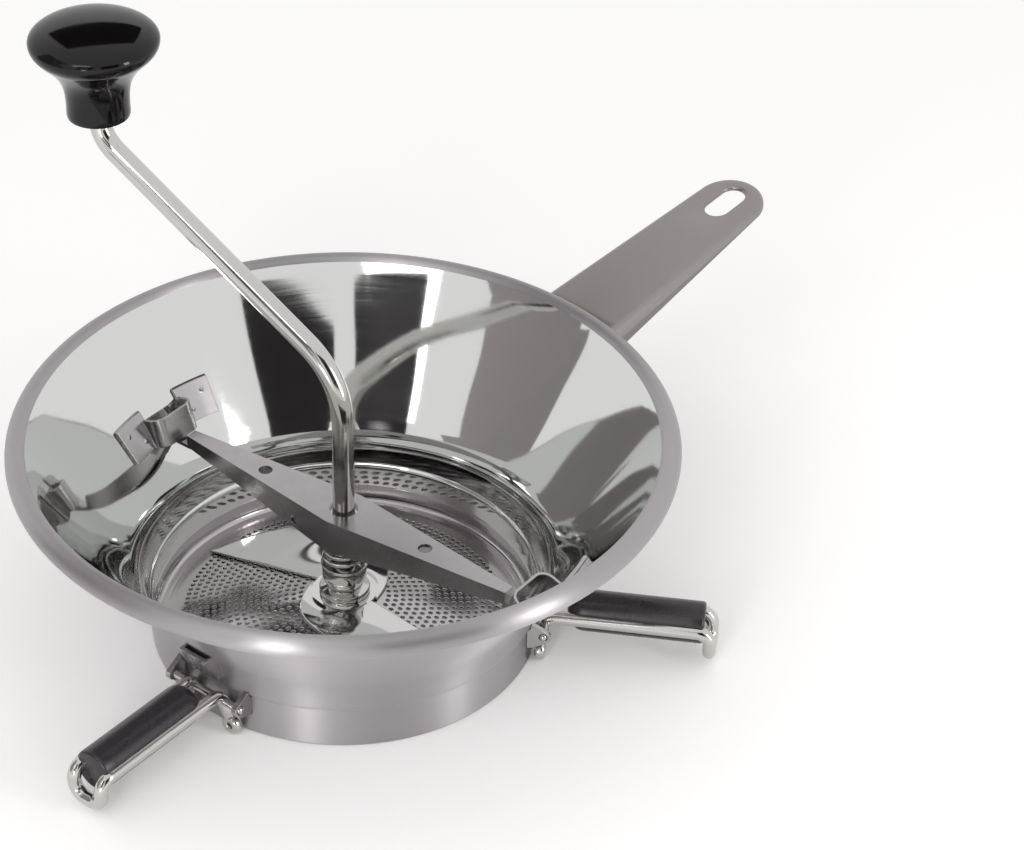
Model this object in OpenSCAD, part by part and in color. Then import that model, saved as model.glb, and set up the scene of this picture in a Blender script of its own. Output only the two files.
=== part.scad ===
// Food mill: a flared bowl with a rolled rim and a short neck, a hang-up sheet handle,
// three fold-up wire legs, a perforated disc, and a crank that turns a two-wing blade
// under a spring-loaded crossbar. Millimetres, +Z up, origin at the centre of the
// neck's lower face, handle along +X.

/* [Bowl] */
// Diameter over the rolled rim
rim_d = 240; // [232:1:250]
// Height of the bowl from the neck's lower face to the top of the rim
bowl_h = 87; // [84:1:92]
// Thickness across the rolled rim
roll_d = 8; // [7:0.5:9]
// Sheet thickness of the bowl
sheet = 1; // [0.8:0.1:1.2]
// Inside diameter where the cone meets the throat
foot_d = 148; // [147:0.5:150]
// Height where the cone meets the throat
foot_z = 30; // [29:0.5:31]
// Outside diameter of the neck
neck_d = 144; // [142:0.5:145]
// Height of the pressed crease above the neck
crease_z = 18; // [17.5:0.5:19]
// Width of the ledge that carries the disc
ledge_w = 6; // [5:0.5:7]

/* [Handle] */
// Reach of the handle beyond the rim
handle_reach = 100.5; // [80:0.5:115]
// Width of the handle at the rim
handle_root_w = 37; // [33:1:42]
// Width of the handle at its round tip
handle_tip_w = 28; // [26:1:32]
// Upward slope of the handle in degrees
handle_rise = 10.2; // [6:0.1:12]
// Sheet thickness of the handle
handle_t = 1.5; // [1.2:0.1:2]
// Depth of the handle's side flanges at the rim
flange_root_h = 10; // [8:0.5:13]
// Depth of the handle's side flanges at the tip
flange_tip_h = 3.5; // [3:0.5:5]
// Length of the hang-up slot
slot_l = 19; // [16:1:22]
// Width of the hang-up slot
slot_w = 10; // [9:0.5:12]

/* [Crossbar] */
// Turn of the crossbar about the bowl, in degrees
bar_turn = 97.5; // [90:0.5:102]
// Height of the crossbar's top face
bar_z = 51; // [50.5:0.25:52]
// Width of the crossbar at its middle
bar_mid_w = 20; // [18.5:0.5:23]
// Width of the crossbar at its ends
bar_end_w = 4.5; // [4:0.5:7]
// Sheet thickness of the crossbar
bar_t = 1.5; // [1.2:0.1:1.8]
// Depth of the crossbar's flanges at its middle
bar_mid_h = 14; // [12:0.5:15]
// Depth of the crossbar's flanges at its ends
bar_end_h = 5; // [4.2:0.2:6]
// Diameter of the two round holes in the crossbar
bar_hole_d = 5.2; // [4:0.2:6]
// Distance of those holes from the crank axis
bar_hole_x = 37.5; // [30:0.5:45]

/* [Wall staples] */
// Height of each strap
staple_w = 11.4; // [10:0.2:12]
// Inside width of the strap's loop
loop_w = 18; // [15:0.5:20]
// How far the loop's lower edge stands off the wall
loop_off = 7.9; // [7.8:0.1:8.5]
// Lean of the loop towards the wall, in degrees
loop_lean = 18; // [14:1:20]
// Sheet thickness of the strap
strap_t = 1.2; // [1:0.1:1.4]
// Length of each welded ear
ear_l = 13; // [10:0.5:15]

/* [Crank] */
// Diameter of the crank rod
rod_d = 8; // [7:0.25:8.5]
// Distance from the crank axis to the knob axis
arm_r = 103; // [90:1:110]
// Slope of the crank arm in degrees
arm_rise = 32.3; // [29:0.1:35]
// Height where the arm's centre line would meet the crank axis
arm_z = 107.7; // [104:0.1:112]
// Radius of the lower bend
bend_low_r = 33; // [25:1:36]
// Radius of the upper bend
bend_high_r = 14; // [11:0.5:15]
// Angle from the handle to the crank arm, in degrees
crank_turn = 102.5; // [95:0.5:110]
// Diameter of the pilot under the rod
pilot_d = 5; // [4:0.1:6]

/* [Knob] */
// Largest diameter of the knob
knob_d = 46.2; // [40:0.2:50]
// Height of the knob
knob_h = 36.7; // [34:0.1:40]
// Diameter of the knob's stem
knob_stem_d = 22.8; // [20:0.2:25]

/* [Disc] */
// Sheet thickness of the disc
disc_t = 1; // [0.8:0.1:1.2]
// Height of the disc's cone
disc_rise = 9.9; // [9:0.1:10.2]
// Height of the disc's upturned rim above the ledge
disc_rim_h = 7.5; // [6:0.5:9]
// Diameter of the grating holes
grate_d = 3; // [2:0.1:4]
// Distance between rings of grating holes
grate_pitch = 9; // [8:0.5:11]

/* [Blade] */
// Reach of each wing
wing_r = 63; // [58:0.5:65]
// Sheet thickness of the blade
wing_t = 1.2; // [1:0.1:1.4]
// Height gained by the wing's leading edge
wing_lift = 9; // [6:0.5:11]
// Diameter of the hub's collar
hub_d = 16.6; // [15:0.2:18]
// Diameter of the hub's base ring
hub_base_d = 18.8; // [18:0.2:20]
// Height of the hub
hub_h = 12.6; // [11:0.2:13.2]

/* [Spring] */
// Diameter of the spring wire
spring_wire = 1.8; // [1.4:0.1:2]
// Outside diameter of the spring's lowest coil
spring_low_d = 17.4; // [16:0.2:18]
// Outside diameter of the spring's upper coils
spring_high_d = 13.2; // [12:0.2:13.4]
// Number of turns
spring_turns = 7; // [5:1:7]

/* [Legs] */
// Turn of the legs about the bowl, in degrees
leg_turn = 6.6; // [0:0.2:12]
// Distance from the bowl's axis to the end of a leg
leg_reach = 138; // [125:0.5:142]
// Diameter of the leg wire
leg_wire_d = 5; // [4:0.25:5.25]
// Distance between the two prongs of a leg
prong_gap = 12.8; // [12:0.2:14]
// Height of the legs' centre line
leg_z = 16; // [15.5:0.25:16.5]
// Diameter of the black sleeve
sleeve_d = 15.5; // [14.5:0.25:16]
// Distance from the bowl's axis to the near end of the sleeve
sleeve_start = 83; // [82.5:0.5:86]
// Drop of the leg's tip below its centre line
tip_drop = 11; // [9:0.5:12]
// Diameter of the leg's pivot axle
axle_d = 3; // [2.8:0.1:3.2]

/* [Hidden] */
$fn = 64;

// Clearances
seat_gap = 0.05;
weld_gap = 0.1;
press_gap = 0.02;
run_gap = 0.08;
clear_gap = 0.3;
over = 20;

// Bowl section, worked out on the middle of the sheet
rim_r = rim_d / 2;
roll_r = roll_d / 2;
roll_c = [rim_r - roll_r, bowl_h - roll_r];
roll_mid_r = roll_r - sheet / 2;
neck_r = neck_d / 2;
neck_mid_r = neck_r - sheet / 2;
crease_step = 1.2;
crease_half = 0.6;
corner_r = 1;
foot = [foot_d / 2 + sheet / 2, foot_z];
foot_blend = 7;
foot_to_roll = norm(roll_c - foot);
cone_a = atan2(roll_c.y - foot.y, roll_c.x - foot.x) + asin(roll_mid_r / foot_to_roll);
cone_dir = [cos(cone_a), sin(cone_a)];
crease_top = [neck_mid_r + crease_step, crease_z + crease_half];
throat_dir = (foot - crease_top) / norm(foot - crease_top);
roll_end_a = -150;
ledge_r = neck_r - ledge_w;

// Cone wall radii at a height
function wall_mid(z) = foot.x + (z - foot.y) / tan(cone_a);
function wall_in(z) = wall_mid(z) - sheet / 2 / sin(cone_a);

function arc_points(c, r, a0, a1, n) =
    [for (i = [0:n]) let (a = a0 + (a1 - a0) * i / n) c + r * [cos(a), sin(a)]];
function bend(a, b, c, n) =
    [for (i = [0:n]) let (t = i / n) (1 - t) * (1 - t) * a + 2 * t * (1 - t) * b + t * t * c];
function curve(a, b, c, d, n) =
    [for (i = [0:n]) let (t = i / n, u = 1 - t)
        u * u * u * a + 3 * u * u * t * b + 3 * u * t * t * c + t * t * t * d];
function left_of(path, i) =
    let (a = path[max(i - 1, 0)], b = path[min(i + 1, len(path) - 1)], t = (b - a) / norm(b - a))
    [-t.y, t.x];
function offset_path(path, d) = [for (i = [0:len(path) - 1]) path[i] + d * left_of(path, i)];
function reversed(list) = [for (i = [len(list) - 1:-1:0]) list[i]];
function ribbon(path, t) = concat(offset_path(path, t / 2), reversed(offset_path(path, -t / 2)));
function smooth(t) = let (s = min(max(t, 0), 1)) s * s * (3 - 2 * s);

foot_bend = bend(foot - foot_blend * throat_dir, foot, foot + foot_blend * cone_dir, 8);
bowl_path = concat(
    [[ledge_r, sheet / 2], [neck_mid_r - 2 * corner_r, sheet / 2]],
    arc_points([neck_mid_r - corner_r, sheet / 2 + corner_r], corner_r, -90, 0, 4),
    [[neck_mid_r, crease_z - 2 * crease_half], [neck_mid_r, crease_z - crease_half], crease_top],
    foot_bend,
    arc_points(roll_c, roll_mid_r, cone_a + 90, roll_end_a, 22)
);

// Handle frame: its top face passes just under the roll
handle_z = roll_c.y + roll_r * tan(handle_rise) - (roll_r + weld_gap) / cos(handle_rise);
handle_inset = 24;
handle_tip_x = handle_reach / cos(handle_rise) - handle_tip_w / 2;
handle_slope_w = (handle_root_w - handle_tip_w) / 2 / handle_tip_x;
slot_end_gap = 6;
slot_x = handle_tip_x + handle_tip_w / 2 - slot_end_gap - slot_l / 2;
saddle_t = 1.2 * sheet;
saddle_h = 1.6 * flange_root_h;
saddle_drop = 0.6 * flange_root_h;
saddle_half_a = 10.5;

// Crossbar and staples
staple_z = bar_z - 3.6;
loop_x = wall_in(staple_z) - loop_off;
loop_corner_r = 5;
bar_end_x = loop_x - 3.5;
tongue_top = staple_z - strap_t * sin(loop_lean) - clear_gap;
tongue_w = bar_end_w;
hook_rise = 1.2;
hook_x = loop_x + strap_t / cos(loop_lean) + hook_rise * tan(loop_lean) + clear_gap;
rod_hole_d = rod_d + 2.6;
pin_hole_d = 3.5;
pin_hole_x = 17;
pin_hole_drop = 8.5;

// Disc, blade, hub and spring stack, from the ledge upwards
disc_z = sheet + seat_gap;
disc_r = neck_r - sheet - clear_gap;
disc_flat_r = ledge_r;
disc_cap_r = 1.5 * rod_d;
disc_corner = 0.6;
disc_top_z = disc_z + disc_t + disc_rise;
blade_z = disc_top_z + clear_gap;
hub_z = blade_z + wing_t + press_gap;
hub_top = hub_z + hub_h;
washer_t = 1.1;
low_washer_z = hub_top + press_gap;
high_washer_z = bar_z - bar_t - washer_t - seat_gap;
spring_z0 = low_washer_z + washer_t + clear_gap;
spring_z1 = high_washer_z - seat_gap;
low_washer_d = hub_base_d - 1.4;
high_washer_d = bar_mid_w - 2 * bar_t - 2 * clear_gap;

// Blade: trailing edges lie on the disc, under the crank arm
wing_sweep = 168;
wing_root_r = rod_d;
wing_plate_r = 1.5 * rod_d;
wing_min_r = 1.625 * rod_d;
wing_power = 1.8;
wing_steps = 28;
wing_rings = 8;

// Crank
bend_low_t = bend_low_r * tan((90 - arm_rise) / 2);
bend_high_t = bend_high_r * tan((90 - arm_rise) / 2);
arm_end_z = arm_z + arm_r * tan(arm_rise);
arc_lap = 1;
arc_slim = 0.04;
knob_z = arm_end_z + bend_high_t + 1;
knob_wide_z = 29.1;
bush_d = 12;
bush_h = 21;
knob_pocket_d = 13;
retainer_t = 1;
rod_top_z = knob_z + bush_h + clear_gap + retainer_t + 1.2;
pocket_top = rod_top_z - knob_z + 1.5;

// Legs
leg_turns = [180 + leg_turn, 300 + leg_turn, 60 + leg_turn];
leg_wire_r = leg_wire_d / 2;
prong_y = prong_gap / 2;
stop_x = neck_r + clear_gap + leg_wire_r - 0.2;
root_bend_r = 5;
root_c = [stop_x + root_bend_r, leg_z - root_bend_r];
axle_x = root_c.x - root_bend_r * cos(45);
axle_z = root_c.y + root_bend_r * sin(45);
root_splay = 22;
eye_r = 0.76 * leg_wire_d;
eye_t = 0.72 * leg_wire_d;
eye_hole_d = 0.5 * leg_wire_d;
eye_drop = (leg_z - eye_r - 0.5) / cos(root_splay);
tip_bend_r = 5;
tip_x = leg_reach - leg_wire_r;
tip_z = leg_z - tip_drop;
lug_y = 1.235 * prong_gap;
lug_w = 0.7 * axle_d;
lug_r = 0.9 * axle_d;
lug_top = 3.4 * axle_d;
lug_foot = 2.1 * axle_d;
axle_half = lug_y + lug_w / 2 + axle_d / 4;
sleeve_end = tip_x - tip_bend_r + 2.5;
bracket_w = 12.4;
bracket_t = 1;
bracket_low = [foot.x + 1.6, leg_z + 6.5];
bracket_high = [foot.x + 7.3, leg_z + 18.5];
bracket_ribs = [-3.6, -1.2, 1.2, 3.6];

// Solid of the bowl's outside, grown by a gap: what is fastened outside is cut to it
module bowl_outside(gap) {
    grow = gap + sheet / 2;
    rotate_extrude($fn = 128)
        polygon(concat(
            [[0, -over], [neck_mid_r + grow, -over], [neck_mid_r + grow, crease_z - 2 * crease_half]],
            [[crease_top.x + grow, crease_z]],
            offset_path(foot_bend, -grow),
            [[wall_mid(bowl_h + over) + grow / sin(cone_a), bowl_h + over], [0, bowl_h + over]]
        ));
}

// Solid of the bowl's inside, shrunk by a gap
module bowl_inside(gap) {
    rotate_extrude($fn = 128)
        polygon([
            [0, foot_z], [wall_in(foot_z) - gap / sin(cone_a), foot_z],
            [wall_in(bowl_h) - gap / sin(cone_a), bowl_h], [0, bowl_h]
        ]);
}

// Ring sector that lies along the cone wall, from distance d0 to d1 inside its inner face
module wall_patch(z0, z1, d0, d1, half_a) {
    k = 1 / sin(cone_a);
    rotate([0, 0, -half_a])
        rotate_extrude(angle = 2 * half_a, $fn = 128)
            polygon([
                [wall_in(z0) - d0 * k, z0], [wall_in(z1) - d0 * k, z1],
                [wall_in(z1) - d1 * k, z1], [wall_in(z0) - d1 * k, z0]
            ]);
}

module washer(outer_d, inner_d, t) {
    difference() {
        cylinder(d = outer_d, h = t);
        translate([0, 0, -1]) cylinder(d = inner_d, h = t + 2);
    }
}

module bowl() {
    color("silver")
        rotate_extrude($fn = 128)
            polygon(ribbon(bowl_path, sheet));
}

module at_handle() {
    translate([rim_r, 0, handle_z]) rotate([0, -handle_rise, 0]) children();
}

// Plan of the handle, drawn in by a margin
module handle_plan(margin) {
    root_half = handle_root_w / 2 + handle_slope_w * handle_inset - margin;
    tip_half = handle_tip_w / 2 - margin;
    polygon([
        [-handle_inset, root_half], [handle_tip_x, tip_half],
        [handle_tip_x, -tip_half], [-handle_inset, -root_half]
    ]);
    translate([handle_tip_x, 0]) circle(r = tip_half);
}

module handle_slot(depth) {
    run = slot_l - slot_w;
    for (side = [-1, 1])
        translate([slot_x + side * run / 2, 0, -depth]) cylinder(d = slot_w, h = 2 * depth);
    translate([slot_x - run / 2, -slot_w / 2, -depth]) cube([run, slot_w, 2 * depth]);
}

module handle() {
    slope = (flange_root_h - flange_tip_h) / handle_tip_x;
    far_x = handle_tip_x + handle_tip_w;
    deep = flange_root_h + slope * handle_inset;
    color("#8f8b88")
        difference() {
            at_handle()
                union() {
                    difference() {
                        translate([0, 0, -handle_t]) linear_extrude(handle_t) handle_plan(0);
                        handle_slot(over);
                    }
                    difference() {
                        translate([0, 0, -deep])
                            linear_extrude(deep)
                                difference() {
                                    handle_plan(0);
                                    handle_plan(handle_t);
                                }
                        rotate([90, 0, 0])
                            translate([0, 0, -rim_r])
                                linear_extrude(rim_d)
                                    polygon([
                                        [-handle_inset - 1, -deep], [far_x, -flange_tip_h + slope * 14],
                                        [far_x, -deep - over], [-handle_inset - 1, -deep - over]
                                    ]);
                    }
                }
            bowl_outside(saddle_t + 2 * weld_gap);
        }
}

module handle_saddle() {
    high_z = handle_z - handle_t - saddle_drop;
    near = -sheet - weld_gap;
    color("#8f8b88")
        wall_patch(high_z - saddle_h, high_z, near, near - saddle_t, saddle_half_a);
}

// Loop seen from above, drawn in by a margin: X points out to the wall
module loop_plan(margin) {
    w = loop_w + 2 * strap_t - 2 * margin;
    r = loop_corner_r - margin;
    translate([margin + r, -w / 2]) square([over, w]);
    translate([margin, r - w / 2]) square([over, w - 2 * r]);
    for (side = [-1, 1])
        translate([margin + r, side * (w / 2 - r)]) circle(r = r);
}

module at_loop() {
    translate([loop_x, 0, staple_z])
        rotate([0, loop_lean, 0])
            children();
}

// Strap bent to a leaning loop, its ears flat on the bowl's wall
module staple(turn) {
    ear_a = asin((loop_w / 2 + strap_t + ear_l) / wall_in(staple_z));
    ear_foot = staple_z - loop_off * sin(loop_lean) / 2;
    ear_top = staple_z + staple_w * cos(loop_lean);
    color("#b9b6b4")
        rotate([0, 0, turn])
            difference() {
                intersection() {
                    bowl_inside(seat_gap);
                    union() {
                        at_loop() linear_extrude(staple_w) loop_plan(0);
                        wall_patch(ear_foot, ear_top, -2, seat_gap + strap_t, ear_a);
                    }
                }
                at_loop()
                    translate([0, 0, -over])
                        linear_extrude(staple_w + 2 * over)
                            loop_plan(strap_t);
            }
}

module staple_left() staple(bar_turn);
module staple_right() staple(bar_turn + 180);

// Height of the disc's top face at a radius
function disc_top(r) =
    disc_z + disc_t + disc_rise * min(1, max(0, (disc_flat_r - r) / (disc_flat_r - disc_cap_r)));

module grinding_disc() {
    k = disc_t;
    rings = floor((disc_flat_r - disc_cap_r - 10) / grate_pitch);
    color("#b8bab6")
        difference() {
            rotate_extrude($fn = 128)
                polygon([
                    [pilot_d / 2 + run_gap, disc_top_z - k], [disc_cap_r, disc_top_z - k],
                    [disc_flat_r, disc_z], [disc_r - disc_corner, disc_z],
                    [disc_r, disc_z + disc_corner], [disc_r, disc_z + disc_rim_h],
                    [disc_r - k, disc_z + disc_rim_h], [disc_r - k, disc_z + k],
                    [disc_flat_r, disc_z + k], [disc_cap_r, disc_top_z],
                    [pilot_d / 2 + run_gap, disc_top_z]
                ]);
            for (i = [0:rings]) {
                ring_r = disc_cap_r + 5 + i * grate_pitch;
                count = floor(2 * PI * ring_r / grate_pitch);
                for (j = [0:count - 1])
                    rotate([0, 0, 360 * (j + i / 2) / count])
                        translate([ring_r, 0, 0])
                            cylinder(d = grate_d, h = disc_top_z + over, $fn = 16);
            }
        }
}

// Plan of the crossbar, drawn in along its sides by a margin
module bar_plan(margin, extra) {
    mid = bar_mid_w / 2 - margin;
    end = bar_end_w / 2 - margin;
    x = bar_end_x + extra;
    polygon([[-x, end], [0, mid], [x, end], [x, -end], [0, -mid], [-x, -end]]);
}

module crossbar() {
    step_x = bar_end_x - bar_t;
    color("#a9a5a3")
        rotate([0, 0, bar_turn])
            difference() {
                union() {
                    translate([0, 0, bar_z - bar_t]) linear_extrude(bar_t) bar_plan(0, 0);
                    difference() {
                        translate([0, 0, bar_z - bar_mid_h])
                            linear_extrude(bar_mid_h)
                                difference() {
                                    bar_plan(0, 0);
                                    bar_plan(bar_t, 1);
                                }
                        translate([0, bar_mid_w, bar_z])
                            rotate([90, 0, 0])
                                linear_extrude(2 * bar_mid_w)
                                    polygon([
                                        [-bar_end_x - 1, -bar_end_h], [0, -bar_mid_h], [bar_end_x + 1, -bar_end_h],
                                        [bar_end_x + 1, -bar_mid_h - over], [-bar_end_x - 1, -bar_mid_h - over]
                                    ]);
                    }
                    for (side = [0, 180])
                        rotate([0, 0, side]) {
                            translate([step_x, -tongue_w / 2, tongue_top - bar_t])
                                cube([bar_t, tongue_w, bar_z - tongue_top + bar_t]);
                            translate([step_x, -tongue_w / 2, tongue_top - bar_t])
                                cube([hook_x + bar_t - step_x, tongue_w, bar_t]);
                            translate([hook_x, -tongue_w / 2, tongue_top - bar_t])
                                cube([bar_t, tongue_w, staple_z + hook_rise - tongue_top + bar_t]);
                        }
                }
                translate([0, 0, bar_z - over]) cylinder(d = rod_hole_d, h = 2 * over);
                for (side = [-1, 1])
                    translate([side * bar_hole_x, 0, bar_z - over / 4]) cylinder(d = bar_hole_d, h = over);
                translate([pin_hole_x, over, bar_z - pin_hole_drop])
                    rotate([90, 0, 0]) cylinder(d = pin_hole_d, h = 2 * over);
            }
}

module upper_washer() {
    color("#9a9896")
        translate([0, 0, high_washer_z]) washer(high_washer_d, rod_d + 2 * run_gap, washer_t);
}

module lower_washer() {
    color("#9a9896")
        translate([0, 0, low_washer_z]) washer(low_washer_d, rod_d + 2 * press_gap, washer_t);
}

// Conical compression spring, swept as one tube
module pressure_spring() {
    sides = 8;
    steps = spring_turns * 18;
    low_r = (spring_low_d - spring_wire) / 2;
    high_r = (spring_high_d - spring_wire) / 2;
    wire_r = spring_wire / 2;
    rise = spring_z1 - spring_z0 - spring_wire;
    ring = [for (i = [0:steps]) let (
        t = i / steps,
        a = 360 * spring_turns * t,
        r = high_r + (low_r - high_r) * pow(1 - t, 3),
        z = spring_z0 + wire_r + rise * t
    ) for (j = [0:sides - 1]) let (b = 360 * j / sides, q = r + wire_r * cos(b))
        [q * cos(a), q * sin(a), z + wire_r * sin(b)]];
    walls = [for (i = [0:steps - 1]) for (j = [0:sides - 1]) let (
        k = (j + 1) % sides,
        a = i * sides,
        b = (i + 1) * sides
    ) each [[a + j, b + j, b + k], [a + j, b + k, a + k]]];
    color("#8d8b89")
        polyhedron(
            ring,
            concat([[for (j = [0:sides - 1]) j]], walls,
                [[for (j = [sides - 1:-1:0]) steps * sides + j]]),
            convexity = 12
        );
}

// Straight rod with a bend at each end of the sloping arm
module crank_rod() {
    low_c = [bend_low_r, arm_z - bend_low_t];
    high_c = [arm_r - bend_high_r, arm_end_z + bend_high_t];
    run = arm_r / cos(arm_rise) - bend_low_t - bend_high_t;
    color("#b4b2b0")
        rotate([0, 0, crank_turn])
            union() {
                translate([0, 0, disc_top_z - disc_t - 1]) cylinder(d = pilot_d, h = disc_t + 3);
                translate([0, 0, blade_z]) cylinder(d = rod_d, h = low_c.y - blade_z);
                translate([low_c.x, 0, low_c.y])
                    rotate([90, 0, 0]) rotate([0, 0, 90 + arm_rise - arc_lap])
                        rotate_extrude(angle = 90 - arm_rise + 2 * arc_lap)
                            translate([bend_low_r, 0]) circle(d = rod_d - arc_slim);
                translate([bend_low_t * cos(arm_rise), 0, arm_z + bend_low_t * sin(arm_rise)])
                    rotate([0, 90 - arm_rise, 0]) cylinder(d = rod_d, h = run);
                translate([high_c.x, 0, high_c.y])
                    rotate([90, 0, 0]) rotate([0, 0, arm_rise - 90 - arc_lap])
                        rotate_extrude(angle = 90 - arm_rise + 2 * arc_lap)
                            translate([bend_high_r, 0]) circle(d = rod_d - arc_slim);
                translate([arm_r, 0, high_c.y]) cylinder(d = rod_d, h = rod_top_z - high_c.y);
            }
}

module blade_hub() {
    groove = 1.6;
    base_h = 4.4;
    color("#a8a6a4")
        translate([0, 0, hub_z])
            rotate_extrude()
                polygon([
                    [rod_d / 2 + press_gap, 0], [hub_base_d / 2 - 0.6, 0], [hub_base_d / 2, 0.6],
                    [hub_base_d / 2, 2.4], [hub_d / 2 - groove, base_h], [hub_d / 2 - 0.4, base_h + 2.2],
                    [hub_d / 2, base_h + 3.4], [hub_d / 2, hub_h - 0.6], [hub_d / 2 - 0.6, hub_h],
                    [rod_d / 2 + press_gap, hub_h]
                ]);
}

// Wing point: s runs back from the trailing edge, v from the root to the rim of the wing
function wing_out(s) = wing_min_r + (wing_r - wing_min_r) * pow(1 - s, wing_power);
function wing_point(s, v, up) =
    let (
        r = wing_root_r + (wing_out(s) - wing_root_r) * v,
        a = -wing_sweep * s,
        gain = wing_lift * smooth(2.2 * s) * smooth((r - wing_plate_r) / 24)
    )
    [r * cos(a), r * sin(a), disc_top(max(r, disc_cap_r)) + clear_gap + gain + up];

module wing() {
    row = wing_rings + 1;
    count = (wing_steps + 1) * row;
    top = [for (i = [0:wing_steps]) for (j = [0:wing_rings])
        wing_point(i / wing_steps, j / wing_rings, wing_t)];
    under = [for (i = [0:wing_steps]) for (j = [0:wing_rings])
        wing_point(i / wing_steps, j / wing_rings, 0)];
    faces_top = [for (i = [0:wing_steps - 1]) for (j = [0:wing_rings - 1])
        let (a = i * row + j, b = a + row) each [[a, a + 1, b + 1], [a, b + 1, b]]];
    faces_under = [for (f = faces_top) [count + f[0], count + f[2], count + f[1]]];
    rim_loop = concat(
        [for (j = [0:wing_rings]) j],
        [for (i = [1:wing_steps]) i * row + wing_rings],
        [for (j = [wing_rings - 1:-1:0]) wing_steps * row + j],
        [for (i = [wing_steps - 1:-1:1]) i * row]
    );
    n = len(rim_loop);
    faces_side = [for (i = [0:n - 1]) let (a = rim_loop[i], b = rim_loop[(i + 1) % n])
        each [[a, count + a, count + b], [a, count + b, b]]];
    polyhedron(concat(top, under), concat(faces_top, faces_under, faces_side), convexity = 8);
}

module blade() {
    color("#aeb0ad")
        rotate([0, 0, crank_turn])
            difference() {
                union() {
                    for (side = [0, 180]) rotate([0, 0, side]) wing();
                    translate([0, 0, blade_z]) cylinder(r = wing_plate_r, h = wing_t, $fn = 48);
                }
                cylinder(d = rod_d + 2 * press_gap, h = 2 * blade_z, $fn = 48);
            }
}

module at_knob() {
    rotate([0, 0, crank_turn]) translate([arm_r, 0, knob_z]) children();
}

module knob() {
    stem_r = knob_stem_d / 2;
    wide_r = knob_d / 2;
    dome = knob_h - knob_wide_z;
    profile = concat(
        [[bush_d / 2 + press_gap, 0], [stem_r - 1, 0]],
        curve([stem_r, 1], [stem_r - 0.4, 13], [stem_r + 1, 15.5], [wide_r - 4.2, 22.5], 12),
        curve([wide_r - 3, 23.6], [wide_r - 0.5, 26], [wide_r, 27.2], [wide_r, knob_wide_z], 6),
        [for (i = [1:10]) let (a = 9 * i) [wide_r * cos(a), knob_wide_z + dome * sin(a)]],
        [[0, pocket_top], [knob_pocket_d / 2, pocket_top]],
        [[knob_pocket_d / 2, bush_h + press_gap], [bush_d / 2 + press_gap, bush_h + press_gap]]
    );
    color("#1a1516") at_knob() rotate_extrude() polygon(profile);
}

module knob_bush() {
    color("#3a3a3a") at_knob() washer(bush_d, rod_d + 2 * run_gap, bush_h);
}

module knob_retainer() {
    color("#9a9896")
        at_knob()
            translate([0, 0, bush_h + clear_gap])
                washer(knob_pocket_d - 4 * clear_gap, rod_d + 2 * press_gap, retainer_t);
}

module at_leg(i) {
    rotate([0, 0, leg_turns[i]]) children();
}

// A wire bend about Y, from +X up towards +Z
module bend_y(r, d, angle) {
    rotate([90, 0, 0]) rotate_extrude(angle = angle) translate([r, 0]) circle(d = d, $fn = 32);
}

// A prong's root: bent down, splayed outwards and flattened to an eye at its end
module prong_root(side) {
    translate([0, 0, leg_z])
        rotate([side * root_splay, 0, 0])
            difference() {
                union() {
                    translate([stop_x, 0, -eye_drop])
                        cylinder(d = leg_wire_d, h = eye_drop - root_bend_r, $fn = 32);
                    translate([root_c.x, 0, -root_bend_r])
                        rotate([0, arc_lap - 90, 0])
                            bend_y(root_bend_r, leg_wire_d - arc_slim, 90 + 2 * arc_lap);
                    translate([stop_x - eye_t / 2, 0, -eye_drop])
                        rotate([0, 90, 0]) cylinder(r = eye_r, h = eye_t, $fn = 32);
                }
                translate([stop_x - leg_wire_d, 0, -eye_drop])
                    rotate([0, 90, 0]) cylinder(d = eye_hole_d, h = 2 * leg_wire_d, $fn = 32);
            }
}

module leg_wire(i) {
    straight = tip_x - tip_bend_r - root_c.x;
    drop = tip_drop - tip_bend_r - tip_bend_r;
    cross = prong_gap - 2 * tip_bend_r;
    color("#bcbab8")
        at_leg(i)
            union() {
                for (side = [-1, 1])
                    translate([0, side * prong_y, 0]) {
                        prong_root(side);
                        translate([root_c.x, 0, leg_z])
                            rotate([0, 90, 0]) cylinder(d = leg_wire_d, h = straight, $fn = 32);
                        translate([tip_x - tip_bend_r, 0, leg_z - tip_bend_r])
                            bend_y(tip_bend_r, leg_wire_d, 90);
                        if (drop > 0)
                            translate([tip_x, 0, tip_z + tip_bend_r])
                                cylinder(d = leg_wire_d, h = drop, $fn = 32);
                        translate([tip_x, -side * tip_bend_r, tip_z + tip_bend_r])
                            rotate([0, 0, side * 90]) rotate([0, 90, 0])
                                bend_y(tip_bend_r, leg_wire_d, 90);
                    }
                translate([tip_x, -cross / 2, tip_z])
                    rotate([-90, 0, 0]) cylinder(d = leg_wire_d, h = cross, $fn = 32);
                translate([axle_x, -axle_half, axle_z])
                    rotate([-90, 0, 0]) cylinder(d = axle_d, h = 2 * axle_half, $fn = 32);
            }
}

module leg_sleeve(i) {
    cap_r = sleeve_d / 2;
    end_r = 1.2;
    length = sleeve_end - sleeve_start;
    hole_d = leg_wire_d + 2 * seat_gap;
    color("#17181c")
        at_leg(i)
            difference() {
                translate([sleeve_start, 0, leg_z])
                    rotate([0, 90, 0])
                        rotate_extrude(convexity = 4)
                            polygon(concat(
                                [[0, 0]],
                                [for (a = [0:10:90]) [cap_r * sin(a), cap_r - cap_r * cos(a)]],
                                [[cap_r, length - end_r], [cap_r - end_r, length], [0, length]]
                            ));
                for (side = [-1, 1]) {
                    translate([sleeve_start - 1, side * prong_y, leg_z])
                        rotate([0, 90, 0])
                            cylinder(d = hole_d, h = tip_x - tip_bend_r - sleeve_start + 1, $fn = 32);
                    translate([tip_x - tip_bend_r, side * prong_y, leg_z - tip_bend_r])
                        bend_y(tip_bend_r, hole_d, 90);
                }
            }
}

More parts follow.
